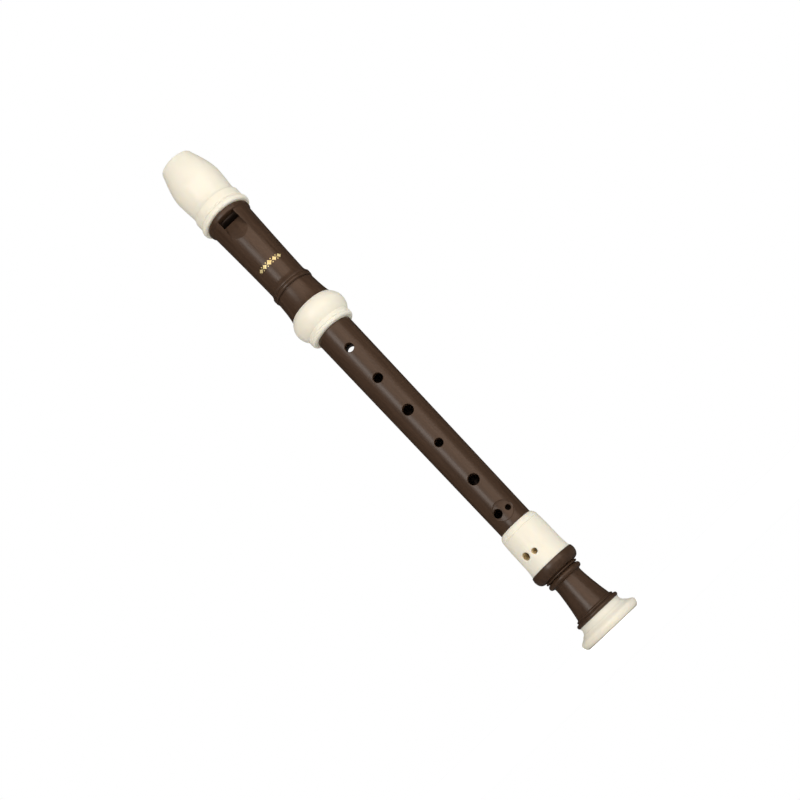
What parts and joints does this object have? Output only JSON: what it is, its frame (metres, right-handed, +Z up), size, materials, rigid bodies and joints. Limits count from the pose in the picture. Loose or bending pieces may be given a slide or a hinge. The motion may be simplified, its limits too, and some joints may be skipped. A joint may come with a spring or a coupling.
{
  "type": "soprano recorder",
  "caption": "Straight duct flute in jointed sections with a curved beak, finger holes, a bulbed ring and a flared foot; the head and foot turn and pull off their tenons.",
  "frame": {"origin": "middle of the foot's bottom face, where the recorder stands", "axes": "+Z up the bore towards the beak's tip, finger holes and window facing -Y, thumb hole and beak cut-away facing +Y, +X to the right seen from the finger holes"},
  "size_m": [0.034, 0.0338, 0.33],
  "materials": {
    "ivory_plastic": "smooth ivory-white ABS with a soft gloss",
    "brown_plastic": "satin dark brown ABS",
    "block_plastic": "plain dark brown ABS",
    "gold_foil": "hot-stamped gold foil"
  },
  "bodies": {
    "foot": {"foot_body": "brown_plastic", "foot_bell": "ivory_plastic"},
    "foot_sleeve": {"foot_sleeve": "ivory_plastic"},
    "middle": {"middle_tube": "brown_plastic"},
    "head_ring": {"head_ferrule": "ivory_plastic"},
    "head": {"head_tube": "brown_plastic", "beak_cap": "ivory_plastic", "block": "block_plastic"}
  },
  "joints": [
    {"name": "foot_turn", "type": "hinge", "parent": "foot", "child": "foot_sleeve", "pos_m": [0, 0, 0.05], "axis": [0, 0, 1], "continuous": true},
    {"name": "foot_pull", "type": "slide", "parent": "foot", "child": "middle", "axis": [0, 0, 1], "range_m": [0, 0.014]},
    {"name": "head_pull", "type": "slide", "parent": "middle", "child": "head_ring", "axis": [0, 0, 1], "range_m": [0, 0.03]},
    {"name": "head_turn", "type": "hinge", "parent": "head_ring", "child": "head", "pos_m": [0, 0, 0.21], "axis": [0, 0, 1], "continuous": true}
  ]
}
